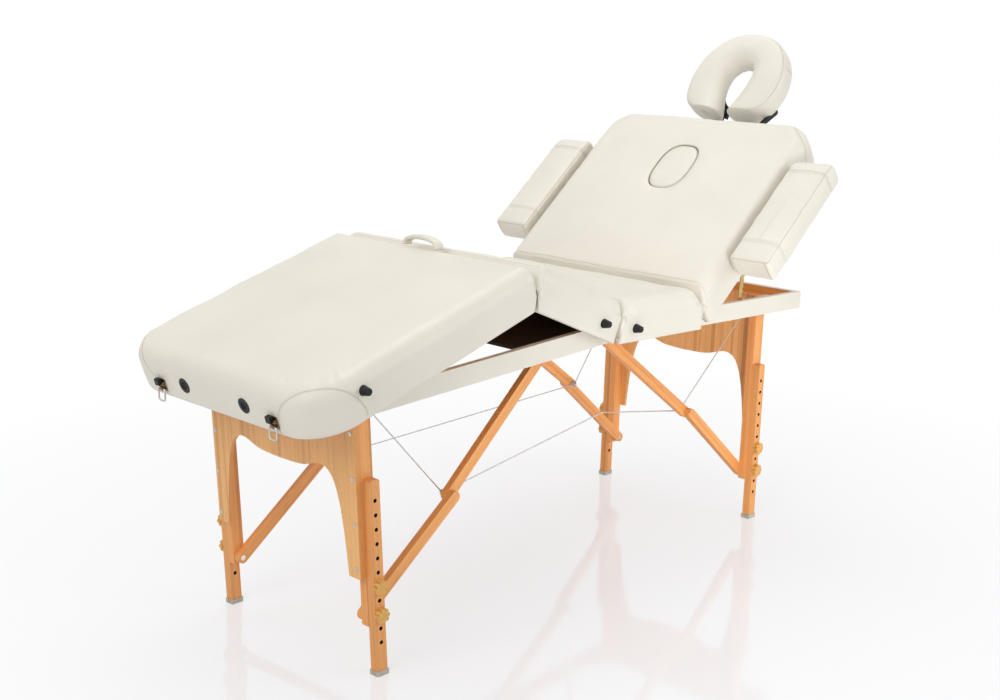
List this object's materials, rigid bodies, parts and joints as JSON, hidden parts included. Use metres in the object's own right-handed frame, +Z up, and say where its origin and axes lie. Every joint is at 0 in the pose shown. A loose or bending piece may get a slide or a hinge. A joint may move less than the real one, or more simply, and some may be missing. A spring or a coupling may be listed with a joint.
{
  "type": "folding physiotherapy table",
  "caption": "Portable folding treatment table: padded sections, raised back and knee, beech legs with braces and cables, headrest, armrests.",
  "frame": {"origin": "middle of the whole outline at floor level", "axes": "+X toward the head end along the table, +Y to the far side, +Z up"},
  "size_m": [1.8327, 0.868, 1.2347],
  "materials": {
    "wrapped_rail": "beech rail wrapped in cream artificial leather",
    "beech": "satin lacquer",
    "plywood": "raw board with steel hinge leaves",
    "black_board": "painted black",
    "cream_leather": "soft satin artificial leather over foam",
    "zinc_steel": "zinc plated",
    "bronze_plate": "bronze coloured steel",
    "black_plastic": "matt black",
    "golden_plastic": "golden brown",
    "black_rubber": "matt black",
    "grey_rubber": "pale grey"
  },
  "bodies": {
    "foot_frame": {"foot_side_rails": "wrapped_rail", "foot_cross_rails": "beech", "deck_board": "black_board", "foot_hardware": "zinc_steel", "long_cables": "zinc_steel", "short_cables_foot": "zinc_steel"},
    "head_frame": {"head_side_rails": "wrapped_rail", "head_cross_rails": "beech", "head_hardware": "zinc_steel", "short_cables_head": "zinc_steel", "seat_board": "plywood", "seat_cushion": "cream_leather", "seat_bumper": "black_rubber"},
    "foot_legs": {"foot_upper_legs": "beech", "end_panel_foot": "beech", "foot_leg_screws": "zinc_steel"},
    "head_legs": {"head_upper_legs": "beech", "end_panel_head": "beech", "head_leg_screws": "zinc_steel"},
    "foot_near_lower_leg": {"lower_leg_foot_near": "beech", "rubber_foot_foot_near": "grey_rubber"},
    "foot_far_lower_leg": {"lower_leg_foot_far": "beech", "rubber_foot_foot_far": "grey_rubber"},
    "head_near_lower_leg": {"lower_leg_head_near": "beech", "rubber_foot_head_near": "grey_rubber"},
    "head_far_lower_leg": {"lower_leg_head_far": "beech", "rubber_foot_head_far": "grey_rubber"},
    "foot_upper_knobs": {"foot_knobs_upper": "golden_plastic"},
    "foot_lower_knobs": {"foot_knobs_lower": "golden_plastic"},
    "head_upper_knobs": {"head_knobs_upper": "golden_plastic"},
    "head_lower_knobs": {"head_knobs_lower": "golden_plastic"},
    "foot_lower_braces_body": {"foot_lower_braces": "beech"},
    "foot_upper_braces_body": {"foot_upper_braces": "beech", "foot_brace_eyes": "zinc_steel"},
    "head_lower_braces_body": {"head_lower_braces": "beech"},
    "head_upper_braces_body": {"head_upper_braces": "beech", "head_brace_eyes": "zinc_steel"},
    "thigh_section": {"thigh_board": "plywood", "thigh_cushion": "cream_leather", "thigh_bumper": "black_rubber"},
    "leg_section": {"leg_board": "plywood", "leg_cushion": "cream_leather", "leg_bumper": "black_rubber", "leg_grommets": "black_plastic", "latch_plates": "bronze_plate", "knee_handle": "cream_leather"},
    "leg_ratchets_body": {"leg_ratchets": "zinc_steel"},
    "back_section": {"back_board": "plywood", "back_cushion": "cream_leather", "back_grommets": "black_plastic"},
    "back_ratchets_body": {"back_ratchets": "zinc_steel"},
    "headrest_frame_body": {"headrest_frame": "zinc_steel"},
    "headrest_body": {"headrest_platform": "black_board", "headrest_cushion": "cream_leather"},
    "cam_lever_body": {"cam_lever": "black_plastic"},
    "armrest_near_body": {"armrest_near": "cream_leather"},
    "armrest_far_body": {"armrest_far": "cream_leather"},
    "face_plug_body": {"face_plug": "cream_leather"},
    "latch_levers_body": {"latch_levers": "black_plastic"},
    "latch_rings_body": {"latch_rings": "zinc_steel"}
  },
  "joints": [
    {"name": "centre_fold", "type": "hinge", "parent": "foot_frame", "child": "head_frame", "pos_m": [-0.0539, 0, 0.579], "axis": [0, 1, 0], "range_deg": [0, 75], "deforming": ["long_cables"]},
    {"name": "foot_leg_fold", "type": "hinge", "parent": "foot_frame", "child": "foot_legs", "pos_m": [-0.7284, 0, 0.57793], "axis": [0, -1, 0], "range_deg": [0, 89.3], "deforming": ["short_cables_foot"]},
    {"name": "head_leg_fold", "type": "hinge", "parent": "head_frame", "child": "head_legs", "pos_m": [0.60232, 0, 0.57866], "axis": [0, 1, 0], "range_deg": [0, 90.7], "deforming": ["short_cables_head"]},
    {"name": "foot_lower_brace_turn", "type": "hinge", "parent": "foot_legs", "child": "foot_lower_braces_body", "pos_m": [-0.70633, 0, 0.11846], "axis": [0, -1, 0], "range_deg": [0, 56.12]},
    {"name": "foot_upper_brace_turn", "type": "hinge", "parent": "foot_frame", "child": "foot_upper_braces_body", "pos_m": [-0.13288, 0, 0.60185], "axis": [0, 1, 0], "range_deg": [0, 40.71]},
    {"name": "head_lower_brace_turn", "type": "hinge", "parent": "head_legs", "child": "head_lower_braces_body", "pos_m": [0.59188, 0, 0.11878], "axis": [0, 1, 0], "range_deg": [0, 50.67]},
    {"name": "head_upper_brace_turn", "type": "hinge", "parent": "head_frame", "child": "head_upper_braces_body", "pos_m": [-0.01992, 0, 0.60266], "axis": [0, -1, 0], "range_deg": [0, 35.44]},
    {"name": "foot_near_leg_length", "type": "slide", "parent": "foot_legs", "child": "foot_near_lower_leg", "axis": [-0.048, 0, 0.9988], "range_m": [-0.12, 0.06]},
    {"name": "foot_far_leg_length", "type": "slide", "parent": "foot_legs", "child": "foot_far_lower_leg", "axis": [-0.048, 0, 0.9988], "range_m": [-0.12, 0.06]},
    {"name": "foot_upper_knobs_turn", "type": "hinge", "parent": "foot_legs", "child": "foot_upper_knobs", "pos_m": [-0.70985, 0, 0.19178], "axis": [0, 1, 0], "continuous": true},
    {"name": "foot_lower_knobs_turn", "type": "hinge", "parent": "foot_legs", "child": "foot_lower_knobs", "pos_m": [-0.70697, 0, 0.13185], "axis": [0, 1, 0], "continuous": true},
    {"name": "head_near_leg_length", "type": "slide", "parent": "head_legs", "child": "head_near_lower_leg", "axis": [0.0227, 0, 0.9997], "range_m": [-0.12, 0.06]},
    {"name": "head_far_leg_length", "type": "slide", "parent": "head_legs", "child": "head_far_lower_leg", "axis": [0.0227, 0, 0.9997], "range_m": [-0.12, 0.06]},
    {"name": "head_upper_knobs_turn", "type": "hinge", "parent": "head_legs", "child": "head_upper_knobs", "pos_m": [0.59354, 0, 0.19195], "axis": [0, 1, 0], "continuous": true},
    {"name": "head_lower_knobs_turn", "type": "hinge", "parent": "head_legs", "child": "head_lower_knobs", "pos_m": [0.59218, 0, 0.13197], "axis": [0, 1, 0], "continuous": true},
    {"name": "thigh_lift", "type": "hinge", "parent": "foot_frame", "child": "thigh_section", "pos_m": [-0.05579, 0, 0.62616], "axis": [0, 1, 0], "range_deg": [-25.4, 0]},
    {"name": "knee_turn", "type": "hinge", "parent": "thigh_section", "child": "leg_section", "pos_m": [-0.32714, 0, 0.7419], "axis": [0, -1, 0], "range_deg": [-39.9, 0]},
    {"name": "leg_ratchet_turn", "type": "hinge", "parent": "leg_section", "child": "leg_ratchets_body", "pos_m": [-0.40055, 0, 0.70825], "axis": [0, -1, 0], "range_deg": [-16.3, 0]},
    {"name": "back_tilt", "type": "hinge", "parent": "head_frame", "child": "back_section", "pos_m": [0.25275, 0, 0.61392], "axis": [0, -1, 0], "range_deg": [-41.8, 18.2]},
    {"name": "back_ratchet_turn", "type": "hinge", "parent": "back_section", "child": "back_ratchets_body", "pos_m": [0.49895, 0, 0.80262], "axis": [0, -1, 0], "range_deg": [-42.8, 18.85]},
    {"name": "headrest_slide", "type": "slide", "parent": "back_section", "child": "headrest_frame_body", "axis": [0.7716, 0, 0.6361], "range_m": [0, 0.12]},
    {"name": "headrest_tilt", "type": "hinge", "parent": "headrest_frame_body", "child": "headrest_body", "pos_m": [0.72162, 0, 0.99784], "axis": [0, -1, 0], "range_deg": [-13.5, 25]},
    {"name": "cam_turn", "type": "hinge", "parent": "headrest_body", "child": "cam_lever_body", "pos_m": [0.72162, 0, 0.99784], "axis": [0, 1, 0], "range_deg": [0, 50]},
    {"name": "near_armrest_slide", "type": "slide", "parent": "back_section", "child": "armrest_near_body", "axis": [0, -1, 0], "range_m": [0, 0.12]},
    {"name": "far_armrest_slide", "type": "slide", "parent": "back_section", "child": "armrest_far_body", "axis": [0, 1, 0], "range_m": [0, 0.12]},
    {"name": "face_plug_lift", "type": "slide", "parent": "back_section", "child": "face_plug_body", "axis": [-0.6361, 0, 0.7716], "range_m": [0, 0.1]},
    {"name": "latch_levers_turn", "type": "hinge", "parent": "leg_section", "child": "latch_levers_body", "pos_m": [-0.90611, 0, 0.55387], "axis": [0, -1, 0], "range_deg": [0, 30]},
    {"name": "latch_rings_swing", "type": "hinge", "parent": "leg_section", "child": "latch_rings_body", "pos_m": [-0.9026, 0, 0.54226], "axis": [0, -1, 0], "range_deg": [-60, 12]}
  ],
  "couplings": [
    {"joint": "foot_lower_brace_turn", "follows": "foot_leg_fold", "ratio": 0.62511},
    {"joint": "foot_upper_brace_turn", "follows": "foot_leg_fold", "ratio": 0.4525},
    {"joint": "head_lower_brace_turn", "follows": "head_leg_fold", "ratio": 0.55537},
    {"joint": "head_upper_brace_turn", "follows": "head_leg_fold", "ratio": 0.3874},
    {"joint": "knee_turn", "follows": "thigh_lift", "ratio": 1.5709},
    {"joint": "leg_ratchet_turn", "follows": "thigh_lift", "ratio": 0.6378},
    {"joint": "back_ratchet_turn", "follows": "back_tilt", "ratio": 1.0191}
  ]
}
